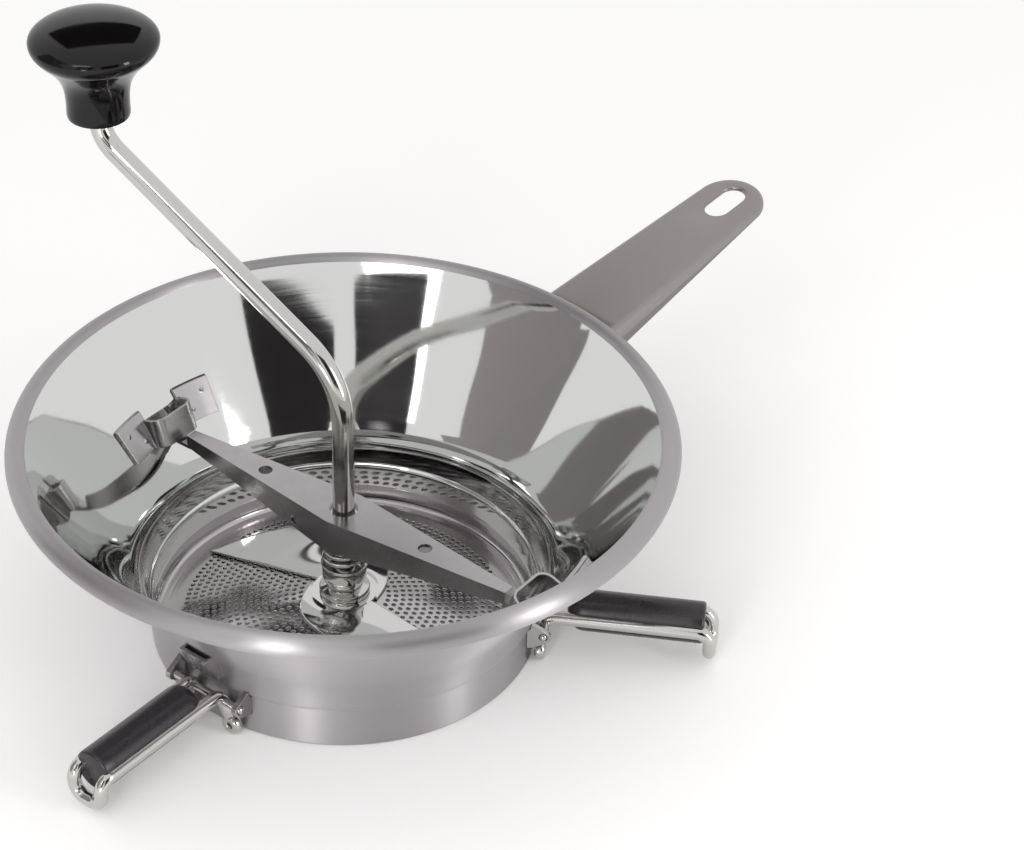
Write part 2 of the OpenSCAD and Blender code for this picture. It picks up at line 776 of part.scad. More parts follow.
// Two leaf-shaped ears on the neck that carry a leg's axle: pointed above, round below
module leg_lugs(i) {
    back = neck_r - 3 * lug_r;
    nose_high = 40;
    nose_low = -65;
    high = [axle_x, axle_z] + lug_r * [cos(nose_high), sin(nose_high)];
    low = [axle_x, axle_z] + lug_r * [cos(nose_low), sin(nose_low)];
    top = [back, axle_z + lug_top];
    foot_end = [back, axle_z - lug_foot];
    outline = concat(
        bend(top, [(back + 2 * axle_x) / 3, axle_z + lug_top / 2], high, 10),
        arc_points([axle_x, axle_z], lug_r, nose_high - 5, nose_low + 5, 10),
        bend(low, [axle_x - 1.2 * lug_r, axle_z - lug_foot], foot_end, 8)
    );
    color("silver")
        at_leg(i)
            difference() {
                for (side = [-1, 1])
                    translate([0, side * lug_y + lug_w / 2, 0])
                        rotate([90, 0, 0]) linear_extrude(lug_w) polygon(outline);
                translate([axle_x, -2 * lug_y, axle_z])
                    rotate([-90, 0, 0]) cylinder(d = axle_d + 2 * run_gap, h = 4 * lug_y);
                bowl_outside(seat_gap);
            }
}

// Open-topped catch bracket on the throat above each leg; its front leans with the wall
module leg_bracket(i) {
    back = foot.x - 6;
    face = bracket_high - bracket_low;
    lean = atan2(face.x, face.y);
    rib_end = 1.6;
    color("#a5a3a1")
        at_leg(i)
            difference() {
                translate([0, bracket_w / 2, 0])
                    rotate([90, 0, 0])
                        linear_extrude(bracket_w)
                            polygon([
                                [back, bracket_low.y], bracket_low, bracket_high, [back, bracket_high.y]
                            ]);
                translate([-bracket_t / cos(lean), bracket_w / 2 - bracket_t, bracket_t])
                    rotate([90, 0, 0])
                        linear_extrude(bracket_w - 2 * bracket_t)
                            polygon([
                                [back, bracket_low.y], bracket_low, bracket_high + face, [back, bracket_high.y + face.y]
                            ]);
                for (y = bracket_ribs)
                    translate([bracket_low.x, y, bracket_low.y])
                        rotate([0, lean, 0])
                            translate([0, 0, rib_end])
                                cylinder(d = 0.8, h = norm(face) - 2 * rib_end, $fn = 16);
                bowl_outside(seat_gap);
            }
}

module leg_lugs_a() leg_lugs(0);
module leg_lugs_b() leg_lugs(1);
module leg_lugs_c() leg_lugs(2);
module leg_bracket_a() leg_bracket(0);
module leg_bracket_b() leg_bracket(1);
module leg_bracket_c() leg_bracket(2);
module leg_wire_a() leg_wire(0);
module leg_wire_b() leg_wire(1);
module leg_wire_c() leg_wire(2);
module leg_sleeve_a() leg_sleeve(0);
module leg_sleeve_b() leg_sleeve(1);
module leg_sleeve_c() leg_sleeve(2);

bowl();
handle();
handle_saddle();
staple_left();
staple_right();
grinding_disc();
crossbar();
upper_washer();
pressure_spring();
crank_rod();
lower_washer();
blade_hub();
blade();
knob_retainer();
knob();
knob_bush();
leg_lugs_a();
leg_lugs_b();
leg_lugs_c();
leg_bracket_a();
leg_bracket_b();
leg_bracket_c();
leg_wire_a();
leg_wire_b();
leg_wire_c();
leg_sleeve_a();
leg_sleeve_b();
leg_sleeve_c();
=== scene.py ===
import math
import bmesh
import bpy
from mathutils import Matrix, Vector


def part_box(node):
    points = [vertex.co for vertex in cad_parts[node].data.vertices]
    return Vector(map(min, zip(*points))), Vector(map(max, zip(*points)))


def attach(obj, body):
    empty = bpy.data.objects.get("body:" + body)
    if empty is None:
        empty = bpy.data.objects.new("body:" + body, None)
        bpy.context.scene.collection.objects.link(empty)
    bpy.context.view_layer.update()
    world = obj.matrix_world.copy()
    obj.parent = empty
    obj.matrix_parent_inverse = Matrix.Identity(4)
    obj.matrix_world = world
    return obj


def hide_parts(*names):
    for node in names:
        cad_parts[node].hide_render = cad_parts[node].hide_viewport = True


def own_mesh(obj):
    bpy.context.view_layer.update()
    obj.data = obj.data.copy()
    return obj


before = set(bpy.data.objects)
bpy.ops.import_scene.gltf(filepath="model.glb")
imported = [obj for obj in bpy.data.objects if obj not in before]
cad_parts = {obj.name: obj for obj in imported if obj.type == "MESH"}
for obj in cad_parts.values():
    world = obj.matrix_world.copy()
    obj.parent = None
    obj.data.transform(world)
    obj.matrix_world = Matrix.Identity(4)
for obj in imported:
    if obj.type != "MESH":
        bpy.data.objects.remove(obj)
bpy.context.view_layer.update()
mm = 0.001


def say(text):
    print("food mill:", text)


def toLinear(hexCode):
    parts = [int(hexCode[i:i + 2], 16) / 255 for i in (1, 3, 5)]
    flat = [p / 12.92 if p <= 0.04045 else ((p + 0.055) / 1.055) ** 2.4 for p in parts]
    return (*flat, 1)


def addNode(tree, kind, values=None, links=None, **settings):
    made = tree.nodes.new(kind)
    for key, value in settings.items():
        setattr(made, key, value)
    for key, value in (values or {}).items():
        made.inputs[key].default_value = value
    for key, source in (links or {}).items():
        tree.links.new(source, made.inputs[key])
    return made


def linkMesh(name, verts, faces, material, uvs=None, sharp=35):
    mesh = bpy.data.meshes.new(name)
    mesh.from_pydata([tuple(c * mm for c in v) for v in verts], [], faces)
    if uvs:
        layer = mesh.uv_layers.new(name="along")
        for loop in mesh.loops:
            layer.data[loop.index].uv = uvs[loop.vertex_index]
    mesh.validate()
    mesh.materials.append(material)
    mesh.shade_smooth()
    mesh.set_sharp_from_angle(angle=math.radians(sharp))
    made = bpy.data.objects.new(name, mesh)
    bpy.context.scene.collection.objects.link(made)
    return made


def settle(made, body, slotName, *nodes):
    # hang the piece on its moving body and let it stand for its construction solids
    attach(made, body)
    if nodes:
        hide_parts(*nodes)
    return made


def turn(points, degrees):
    c, s = math.cos(math.radians(degrees)), math.sin(math.radians(degrees))
    return [(x * c - y * s, x * s + y * c, z) for x, y, z in points]


def arcPoints(cx, cz, r, a0, a1, n):
    return [(cx + r * math.cos(math.radians(a0 + (a1 - a0) * i / n)),
             cz + r * math.sin(math.radians(a0 + (a1 - a0) * i / n))) for i in range(n + 1)]


def offsetPath(path, d):
    out = []
    for i, (x, z) in enumerate(path):
        ax, az = path[max(i - 1, 0)]
        bx, bz = path[min(i + 1, len(path) - 1)]
        length = math.hypot(bx - ax, bz - az)
        out.append((x - d * (bz - az) / length, z + d * (bx - ax) / length))
    return out


def lathe(name, profile, material, steps=192, sharp=35, at=(0, 0, 0), second=None):
    # closed profile of (radius, height) points spun round the upright axis;
    # second is another finish and the profile point that it starts from
    verts, uvs, faces = [], [], []
    n = len(profile)
    run = [0]
    for i in range(1, n):
        run.append(run[-1] + math.dist(profile[i], profile[i - 1]))
    for j in range(steps + 1):
        a = 2 * math.pi * (j % steps) / steps
        for i, (r, z) in enumerate(profile):
            verts.append((at[0] + r * math.cos(a), at[1] + r * math.sin(a), at[2] + z))
            uvs.append((j / steps, run[i] * mm))
    for j in range(steps):
        for i in range(n):
            k = (i + 1) % n
            a, b = j * n, (j + 1) * n
            if profile[i][0] > 1e-6 or profile[k][0] > 1e-6:
                faces.append((a + i, a + k, b + k, b + i))
    made = linkMesh(name, verts, faces, material, uvs, sharp)
    if second:
        made.data.materials.append(second[0])
        for number, face in enumerate(made.data.polygons):
            face.material_index = 1 if number % n >= second[1] else 0
    weld(made, 1e-6, sharp)
    return made


def weld(made, distance, sharp):
    bm = bmesh.new()
    bm.from_mesh(made.data)
    bmesh.ops.remove_doubles(bm, verts=bm.verts, dist=distance)
    bmesh.ops.dissolve_degenerate(bm, edges=bm.edges, dist=1e-8)
    bmesh.ops.recalc_face_normals(bm, faces=bm.faces)
    bm.to_mesh(made.data)
    bm.free()
    made.data.shade_smooth()
    made.data.set_sharp_from_angle(angle=math.radians(sharp))


def sweep(name, path, radii, material, sides=24, sharp=40):
    # round bar along a path; the frame is carried on so that it doesn't twist
    verts, uvs, faces = [], [], []
    points = [Vector(p) for p in path]
    n = len(points)
    side = None
    run = 0
    for i, p in enumerate(points):
        ahead = (points[min(i + 1, n - 1)] - points[max(i - 1, 0)]).normalized()
        if side is None:
            side = ahead.orthogonal().normalized()
        side = (side - ahead * side.dot(ahead)).normalized()
        up = ahead.cross(side)
        r = radii[i] if isinstance(radii, (list, tuple)) else radii
        run += (p - points[i - 1]).length if i else 0
        for j in range(sides):
            a = 2 * math.pi * j / sides
            verts.append(tuple(p + side * (r * math.cos(a)) + up * (r * math.sin(a))))
            uvs.append((j / sides, run * mm))
    for i in range(n - 1):
        for j in range(sides):
            k = (j + 1) % sides
            a, b = i * sides, (i + 1) * sides
            faces.append((a + j, a + k, b + k, b + j))
    faces.append(tuple(range(sides - 1, -1, -1)))
    faces.append(tuple((n - 1) * sides + j for j in range(sides)))
    return linkMesh(name, verts, faces, material, uvs, sharp)


def softened(node, body, slotName, material, width, angle=32):
    # the construction solid with its edges broken as a press tool leaves them
    bm = bmesh.new()
    bm.from_mesh(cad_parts[node].data)
    bmesh.ops.remove_doubles(bm, verts=bm.verts, dist=2e-6)
    bmesh.ops.dissolve_limit(bm, angle_limit=math.radians(2), verts=bm.verts, edges=bm.edges)
    mesh = bpy.data.meshes.new(node + "_finished")
    bm.to_mesh(mesh)
    bm.free()
    mesh.materials.append(material)
    mesh.shade_smooth()
    mesh.set_sharp_from_angle(angle=math.radians(angle))
    made = bpy.data.objects.new(node + "_finished", mesh)
    bpy.context.scene.collection.objects.link(made)
    edge = made.modifiers.new("edge", "BEVEL")
    edge.width = width * mm
    edge.segments = 3
    edge.limit_method = "ANGLE"
    edge.angle_limit = math.radians(angle)
    edge.harden_normals = True
    edge.use_clamp_overlap = True
    return settle(made, body, slotName, node)


def newMaterial(name):
    made = bpy.data.materials.new(name)
    made.use_nodes = True
    tree = made.node_tree
    tree.nodes.clear()
    out = addNode(tree, "ShaderNodeOutputMaterial")
    shader = addNode(tree, "ShaderNodeBsdfPrincipled")
    tree.links.new(shader.outputs["BSDF"], out.inputs["Surface"])
    return made, tree, shader


def steel(name, colour, low, high, stretch, grainSize, grainHeight, waveSize=0.02, waveHeight=0.0, useUv=True,
          streak=0.0):
    # steel with a polishing grain: stretch sets how long the strokes run, in metres of texture
    made, tree, shader = newMaterial(name)
    where = addNode(tree, "ShaderNodeTexCoord")
    source = where.outputs["UV"] if useUv else where.outputs["Object"]
    stroke = addNode(tree, "ShaderNodeMapping", {"Scale": stretch}, {"Vector": source})
    grain = addNode(tree, "ShaderNodeTexNoise", {"Scale": 1 / grainSize, "Detail": 6, "Roughness": 0.6},
                    {"Vector": stroke.outputs["Vector"]})
    smudge = addNode(tree, "ShaderNodeTexNoise", {"Scale": 1 / 0.035, "Detail": 3},
                     {"Vector": where.outputs["Object"]})
    mixed = addNode(tree, "ShaderNodeMath", {1: 0.35}, {0: smudge.outputs["Fac"]}, operation="MULTIPLY")
    both = addNode(tree, "ShaderNodeMath", {2: 0.0}, {0: grain.outputs["Fac"], 1: mixed.outputs[0]},
                   operation="ADD")
    rough = addNode(tree, "ShaderNodeMapRange", {"From Min": 0.35, "From Max": 1.0, "To Min": low, "To Max": high},
                    {"Value": both.outputs[0]})
    tree.links.new(rough.outputs["Result"], shader.inputs["Roughness"])
    bump = addNode(tree, "ShaderNodeBump", {"Strength": 1.0, "Distance": grainHeight},
                   {"Height": grain.outputs["Fac"]})
    if waveHeight:
        wave = addNode(tree, "ShaderNodeTexNoise", {"Scale": 1 / waveSize, "Detail": 1},
                       {"Vector": where.outputs["Object"]})
        bump = addNode(tree, "ShaderNodeBump", {"Strength": 1.0, "Distance": waveHeight},
                       {"Height": wave.outputs["Fac"], "Normal": bump.outputs["Normal"]})
    tree.links.new(bump.outputs["Normal"], shader.inputs["Normal"])
    shader.inputs["Base Color"].default_value = toLinear(colour)
    shader.inputs["Metallic"].default_value = 1
    if streak:
        # strokes run round the piece, so its highlights stretch across them
        shader.inputs["Anisotropic"].default_value = streak
        shader.inputs["Anisotropic Rotation"].default_value = 0.25
    return made


def plastic(name, colour, low, high, grainSize, grainHeight, ior=1.5):
    made, tree, shader = newMaterial(name)
    where = addNode(tree, "ShaderNodeTexCoord")
    grain = addNode(tree, "ShaderNodeTexNoise", {"Scale": 1 / grainSize, "Detail": 4},
                    {"Vector": where.outputs["Object"]})
    rough = addNode(tree, "ShaderNodeMapRange", {"From Min": 0.3, "From Max": 0.7, "To Min": low, "To Max": high},
                    {"Value": grain.outputs["Fac"]})
    bump = addNode(tree, "ShaderNodeBump", {"Strength": 1.0, "Distance": grainHeight},
                   {"Height": grain.outputs["Fac"]})
    tree.links.new(rough.outputs["Result"], shader.inputs["Roughness"])
    tree.links.new(bump.outputs["Normal"], shader.inputs["Normal"])
    shader.inputs["Base Color"].default_value = toLinear(colour)
    shader.inputs["IOR"].default_value = ior
    return made


# spun and buffed inside: near mirror, with faint rings from the buffing wheel
buffedStainless = steel("spunStainlessBuffed", "#d2d3d1", 0.03, 0.08, (3, 900, 1), 1.0, 0.000002, 0.06, 0.0006)
# the same sheet brushed outside and on the rolled rim: soft upright bands of light
brushedStainless = steel("spunStainlessBrushed", "#b1adaf", 0.38, 0.46, (6, 2500, 1), 1.0, 0.000003, streak=0.93)
# pressed and barrel polished: soft grey sheen, reflections blur into bands
satinPressed = steel("pressedSteelSatin", "#948f8d", 0.26, 0.4, (0.06, 1, 1), 0.0012, 0.000008, useUv=False)
# pressed crossbar, ears and clips: bright, but softer than the bowl
brightPressed = steel("pressedStainlessBright", "#aeaaab", 0.16, 0.26, (1, 1, 1), 0.004, 0.000004, useUv=False)
# formed blade: polished nearly as far as the bowl, so it flashes light and dark
polishedBlade = steel("formedBladePolished", "#cbcac9", 0.05, 0.11, (1, 1, 1), 0.02, 0.00001, useUv=False)
# drawn wire, nickel plated: sharp lengthwise highlights
platedWire = steel("drawnWirePlated", "#c4c2bf", 0.08, 0.15, (8, 60, 1), 1.0, 0.000002)
# punched sheet of the disc: bright, each hole's lip drawn in a little by the punch
punchedSheet = steel("punchedSheetBright", "#b4b0b1", 0.1, 0.2, (1, 1, 1), 0.006, 0.000003, useUv=False)
# moulded phenolic knob: black with clean highlights
glossPhenolic = plastic("mouldedPhenolicGloss", "#0c090a", 0.06, 0.12, 0.02, 0.000003, 1.38)
# dipped vinyl sleeve: black, soft mauve-grey sheen along the top
dippedVinyl = plastic("dippedVinylSatin", "#272226", 0.24, 0.34, 0.004, 0.000006)
say("materials ready")


bowl = {
    "rimRadius": 120, "height": 87, "rollRadius": 4, "sheet": 1.0,
    "footRadius": 74, "footHeight": 30, "neckRadius": 72,
    "creaseHeight": 18, "creaseStep": 1.2, "ledgeWidth": 6, "steps": 360, "rollSteps": 40,
}
footX, footZ = bowl["footRadius"] + bowl["sheet"] / 2, bowl["footHeight"]
rollX, rollZ = bowl["rimRadius"] - bowl["rollRadius"], bowl["height"] - bowl["rollRadius"]
rollMid = bowl["rollRadius"] - bowl["sheet"] / 2
coneAngle = math.degrees(math.atan2(rollZ - footZ, rollX - footX)
                         + math.asin(rollMid / math.hypot(rollX - footX, rollZ - footZ)))
coneRadians = math.radians(coneAngle)


def wallOut(z):
    return footX + (z - footZ) / math.tan(coneRadians) + bowl["sheet"] / 2 / math.sin(coneRadians)


def wallIn(z):
    return wallOut(z) - bowl["sheet"] / math.sin(coneRadians)


def quadratic(a, b, c, n):
    out = []
    for i in range(n + 1):
        t = i / n
        out.append(tuple((1 - t) ** 2 * a[k] + 2 * t * (1 - t) * b[k] + t * t * c[k] for k in (0, 1)))
    return out


def bowlPath():
    neckMid = bowl["neckRadius"] - bowl["sheet"] / 2
    half, crease = bowl["sheet"] / 2, bowl["creaseHeight"]
    top = (neckMid + bowl["creaseStep"], crease + 0.6)
    slope = Vector((footX - top[0], footZ - top[1])).normalized()
    cone = Vector((math.cos(coneRadians), math.sin(coneRadians)))
    foot = Vector((footX, footZ))
    path = [(bowl["neckRadius"] - bowl["ledgeWidth"], half)]
    path += arcPoints(neckMid - 1, half + 1, 1, -90, 0, 6)
    path += quadratic((neckMid, crease - 1.6), (neckMid, crease - 0.5), (neckMid + 0.6, crease), 5)
    path += quadratic((neckMid + 0.6, crease), (top[0], top[1] - 0.1), (top[0] + 0.1, top[1] + 0.8), 5)[1:]
    path += quadratic(tuple(foot - 7 * slope), tuple(foot), tuple(foot + 7 * cone), 16)
    end = Vector((rollX, rollZ)) + rollMid * Vector((math.cos(coneRadians + math.pi / 2),
                                                     math.sin(coneRadians + math.pi / 2)))
    start = foot + 7 * cone
    path += [tuple(start.lerp(end, i / 12)) for i in range(1, 12)]
    path += arcPoints(rollX, rollZ, rollMid, coneAngle + 90, -150, bowl["rollSteps"])
    return path


bowlLine = bowlPath()
bowlProfile = offsetPath(bowlLine, bowl["sheet"] / 2) + offsetPath(bowlLine, -bowl["sheet"] / 2)[::-1]
bowlShell = lathe("bowlShell", bowlProfile, buffedStainless, bowl["steps"], 50,
                  second=(brushedStainless, len(bowlLine) - bowl["rollSteps"] - 1))
settle(bowlShell, "bowl_body", "polished_steel", "bowl")
say("bowl spun")


handle = {
    "reach": 100.5, "rootWidth": 37, "tipWidth": 28, "rise": 10.2, "sheet": 1.5,
    "rootFlange": 10, "tipFlange": 3.5, "mostFlange": 14, "fold": 2.6, "wallGap": 1.7,
    "slotLength": 19, "slotWidth": 10, "slotInset": 6,
}


def handlePiece():
    rise = math.radians(handle["rise"])
    baseZ = rollZ + bowl["rollRadius"] * math.tan(rise) - (bowl["rollRadius"] + 0.1) / math.cos(rise)
    tipR = handle["tipWidth"] / 2
    tipX = handle["reach"] / math.cos(rise) - tipR
    slope = (handle["rootWidth"] - handle["tipWidth"]) / 2 / tipX
    slotX = tipX + tipR - handle["slotInset"] - handle["slotLength"] / 2
    fold = handle["fold"]

    def place(x, y, z):
        return (bowl["rimRadius"] + x * math.cos(rise) - z * math.sin(rise), y,
                baseZ + x * math.sin(rise) + z * math.cos(rise))

    def rootStart(y, z):
        low, high = -60.0, 20.0
        for _ in range(40):
            x = (low + high) / 2
            px, py, pz = place(x, y, z)
            if math.hypot(px, py) < wallOut(pz) + handle["wallGap"] / math.sin(coneRadians):
                low = x
            else:
                high = x
        return high

    def depthAt(x):
        d = handle["rootFlange"] + (handle["tipFlange"] - handle["rootFlange"]) * x / tipX
        return max(min(d, handle["mostFlange"]), handle["tipFlange"] - 0.3)

    def ring(inset, z, useDepth):
        points = []
        longSteps, tipSteps = 40, 36
        for side in (-1, 1):
            half = handle["rootWidth"] / 2 - inset
            x0 = rootStart(side * half, z if z is not None else -depthAt(-6))
            line = []
            for i in range(longSteps):
                x = x0 + (tipX - x0) * i / longSteps
                y = side * (handle["rootWidth"] / 2 - slope * x - inset)
                line.append((x, y, -depthAt(x) if useDepth else z))
            points.append(line)
        tip = []
        for i in range(tipSteps + 1):
            a = -math.pi / 2 + math.pi * i / tipSteps
            x = tipX + (tipR - inset) * math.cos(a)
            tip.append((x, (tipR - inset) * math.sin(a), -depthAt(tipX) if useDepth else z))
        return points[0] + tip + points[1][::-1]

    rings = []
    foldSteps = 6
    for i in range(foldSteps + 1):
        a = math.pi / 2 * i / foldSteps
        rings.append(ring(fold * (1 - math.sin(a)), -fold * (1 - math.cos(a)), False))
    rings.append(ring(0, None, True))
    verts = [place(*p) for r in rings for p in r]
    n = len(rings[0])
    faces = []
    for k in range(len(rings) - 1):
        for i in range(n - 1):
            a, b = k * n + i, (k + 1) * n + i
            faces.append((a, b, b + 1, a + 1))
    # flat top with the hang-up slot left open
    rootEdge = []
    yA, yB = rings[0][-1][1], rings[0][0][1]
    for i in range(1, 16):
        y = yA + (yB - yA) * i / 16
        rootEdge.append((rootStart(y, 0), y, 0))
    run = (handle["slotLength"] - handle["slotWidth"]) / 2
    slotR = handle["slotWidth"] / 2
    slotLoops = []
    for grow, drop in ((0.9, 0.0), (0.45, -0.12), (0.12, -0.45), (0.0, -0.9), (0.0, -1.5)):
        loop = []
        for side in (1, -1):
            for i in range(17):
                a = math.pi * i / 16 - math.pi / 2 + (0 if side > 0 else math.pi)
                loop.append((slotX + side * run + (slotR + grow) * math.cos(a), (slotR + grow) * math.sin(a), drop))
        slotLoops.append(loop)
    bm = bmesh.new()
    made = [bm.verts.new(Vector(v) * mm) for v in verts]
    for f in faces:
        bm.faces.new([made[i] for i in f])
    rootVerts = [bm.verts.new(Vector(place(*p)) * mm) for p in rootEdge]
    topLoop = made[:n] + rootVerts
    loopVerts = [[bm.verts.new(Vector(place(*p)) * mm) for p in loop] for loop in slotLoops]
    m = len(loopVerts[0])
    edges = []
    for loop in (topLoop, loopVerts[0]):
        for i in range(len(loop)):
            pair = (loop[i], loop[(i + 1) % len(loop)])
            edges.append(bm.edges.get(pair) or bm.edges.new(pair))
    bmesh.ops.triangle_fill(bm, edges=edges, use_beauty=True)
    for k in range(len(loopVerts) - 1):
        for i in range(m):
            j = (i + 1) % m
            bm.faces.new((loopVerts[k][i], loopVerts[k][j], loopVerts[k + 1][j], loopVerts[k + 1][i]))
    bmesh.ops.recalc_face_normals(bm, faces=bm.faces)
    mesh = bpy.data.meshes.new("handleChannel")
    bm.to_mesh(mesh)
    bm.free()
    mesh.materials.append(satinPressed)
    mesh.shade_smooth()
    mesh.set_sharp_from_angle(angle=math.radians(40))
    piece = bpy.data.objects.new("handleChannel", mesh)
    bpy.context.scene.collection.objects.link(piece)
    if mesh.polygons[0].normal.z < 0:
        mesh.flip_normals()
    wall = piece.modifiers.new("sheet", "SOLIDIFY")
    wall.thickness = handle["sheet"] * mm
    wall.offset = -1
    wall.use_even_offset = False
    return piece


settle(handlePiece(), "bowl_body", "satin_steel", "handle")
softened("handle_saddle", "bowl_body", "satin_steel", satinPressed, 0.3)
say("handle folded")


weldDots = {"radius": 1.3, "height": 0.35, "strap": 1.25, "spots": ((13.2, 50.0), (20.2, 54.6))}


def weldDot(centre, normal, material, name):
    n = Vector(normal).normalized()
    side = n.orthogonal().normalized()
    up = n.cross(side)
    verts, faces = [tuple(Vector(centre) + n * weldDots["height"])], []
    rings, around = 5, 20
    for k in range(1, rings + 1):
        r = weldDots["radius"] * k / rings
        h = weldDots["height"] * (0.5 + 0.5 * math.cos(math.pi * k / rings))
        for j in range(around):
            a = 2 * math.pi * j / around
            verts.append(tuple(Vector(centre) + n * h + side * (r * math.cos(a)) + up * (r * math.sin(a))))
    for j in range(around):
        faces.append((0, 1 + j, 1 + (j + 1) % around))
        for k in range(rings - 1):
            a, b = 1 + k * around, 1 + (k + 1) * around
            j2 = (j + 1) % around
            faces.append((a + j, b + j, b + j2, a + j2))
    return linkMesh(name, verts, faces, material, None, 60)


for side, azimuth in (("left", 97.5), ("right", 277.5)):
    softened("staple_" + side, "bowl_body", "polished_steel", brightPressed, 0.35)
    for ear in (-1, 1):
        for spot, (across, z) in enumerate(weldDots["spots"]):
            reach = wallIn(z) - weldDots["strap"] / math.sin(coneRadians)
            swing = azimuth + ear * math.degrees(math.asin(across / reach))
            place = turn([(reach, 0, z)], swing)[0]
            inward = turn([(-math.sin(coneRadians), 0, math.cos(coneRadians))], swing)[0]
            dot = weldDot(place, inward, brightPressed, f"weld_{side}_{ear + 1}_{spot}")
            settle(dot, "bowl_body", "polished_steel")
say("staples welded")


disc = {
    "radius": 70.7, "flat": 66, "cap": 12, "rise": 9.9, "sheet": 1.0, "baseZ": 1.05, "rim": 7.5,
    "corner": 2.2, "holePitch": 2.7, "holeRadius": 0.85, "lip": 0.2, "dip": 0.08, "firstRing": 15, "lastRing": 62.5,
    "bore": 2.58, "shownSheet": 0.9,
}


def discTop(r):
    share = (disc["flat"] - r) / (disc["flat"] - disc["cap"])
    return disc["baseZ"] + disc["sheet"] + disc["rise"] * min(1, max(0, share))


def discPiece():
    bm = bmesh.new()
    pitch, holeR = disc["holePitch"], disc["holeRadius"]

    def vert(r, a, drop=0):
        return bm.verts.new(Vector((r * math.cos(a), r * math.sin(a), discTop(r) - drop)) * mm)

    ringCount = int((disc["lastRing"] - disc["firstRing"]) / pitch)
    for k in range(ringCount):
        r0 = disc["firstRing"] + k * pitch
        r1, middle = r0 + pitch, r0 + pitch / 2
        count = max(6, round(2 * math.pi * middle / pitch))
        step = 2 * math.pi / count
        phase = (k % 2) * step / 2
        for c in range(count):
            a = phase + c * step
            border = []
            for rr, aa in ((r0, -0.5), (r0, 0), (r0, 0.5), (middle, 0.5),
                           (r1, 0.5), (r1, 0), (r1, -0.5), (middle, -0.5)):
                border.append((rr, a + aa * step))
            outer = [vert(rr, aa) for rr, aa in border]
            loops = [outer]
            for grow, drop in ((disc["lip"], 0), (disc["lip"] / 3, disc["dip"] / 3), (0, disc["dip"])):
                loop = []
                for i in range(8):
                    # hole corners line up with the cell's corners and mid-sides
                    b = math.radians(-135 + 45 * i)
                    rr, aa = middle + (holeR + grow) * math.sin(b), a + (holeR + grow) * math.cos(b) / middle
                    loop.append(vert(rr, aa, drop))
                loops.append(loop)
            for near, far in zip(loops, loops[1:]):
                for i in range(8):
                    j = (i + 1) % 8
                    bm.faces.new((near[i], near[j], far[j], far[i]))
    last = disc["firstRing"] + ringCount * pitch
    around = 180

    def band(radii, heights):
        loops = []
        for r, z in zip(radii, heights):
            turns = [2 * math.pi * j / around for j in range(around)]
            loops.append([bm.verts.new(Vector((r * math.cos(a), r * math.sin(a), z)) * mm) for a in turns])
        for a, b in zip(loops, loops[1:]):
            for j in range(around):
                k = (j + 1) % around
                bm.faces.new((a[j], a[k], b[k], b[j]))

    band([disc["bore"], disc["cap"] - 0.5, disc["cap"] + 1, disc["firstRing"]],
         [discTop(0), discTop(0), discTop(disc["cap"] + 1), discTop(disc["firstRing"])])
    edge = disc["radius"]
    low = disc["baseZ"] + disc["sheet"]
    corner = disc["corner"]
    turned = [(edge - corner + corner * math.sin(math.radians(a)), low + corner - corner * math.cos(math.radians(a)))
              for a in range(0, 91, 15)]
    band([last, disc["flat"] - 1, disc["flat"] + 0.5] + [r for r, z in turned] + [edge],
         [discTop(last), discTop(disc["flat"] - 1), low] + [z for r, z in turned] + [disc["baseZ"] + disc["rim"]])
    bmesh.ops.recalc_face_normals(bm, faces=bm.faces)
    for f in bm.faces:
        c = f.calc_center_median()
        outwards = Vector((c.x, c.y, 0)).length > (disc["radius"] - 0.4) * mm
        wrong = f.normal.z < 0 if not outwards else Vector((c.x, c.y, 0)).dot(f.normal) > 0
        if wrong:
            f.normal_flip()
    for e in bm.edges:
        e.smooth = not e.is_boundary
    mesh = bpy.data.meshes.new("grindingDisc")
    bm.to_mesh(mesh)
    bm.free()
    mesh.materials.append(punchedSheet)
    made = bpy.data.objects.new("gratingDisc", mesh)
    bpy.context.scene.collection.objects.link(made)
    wall = made.modifiers.new("sheet", "SOLIDIFY")
    wall.thickness = disc["shownSheet"] * mm
    wall.offset = -1
    return made


settle(discPiece(), "bowl_body", "polished_steel", "grinding_disc")
say("disc punched")


crank = {
    "turn": 102.5, "rod": 8, "reach": 103, "rise": 32.3, "cornerZ": 107.7, "lowBend": 33, "highBend": 14,
    "footZ": 12.25, "topZ": 204.6, "pilot": 5, "footEdge": 0.5,
}


def crankPath():
    rise = math.radians(crank["rise"])
    lowT = crank["lowBend"] * math.tan((math.pi / 2 - rise) / 2)
    highT = crank["highBend"] * math.tan((math.pi / 2 - rise) / 2)
    endZ = crank["cornerZ"] + crank["reach"] * math.tan(rise)
    points = [(0, crank["footZ"] + i) for i in (0.0, 0.6)] + [(0, 40), (0, 70)]
    points += arcPoints(crank["lowBend"], crank["cornerZ"] - lowT, crank["lowBend"], 180, 90 + crank["rise"], 28)
    points += arcPoints(crank["reach"] - crank["highBend"], endZ + highT, crank["highBend"],
                        crank["rise"] - 90, 0, 20)
    points += [(crank["reach"], crank["topZ"])]
    return points


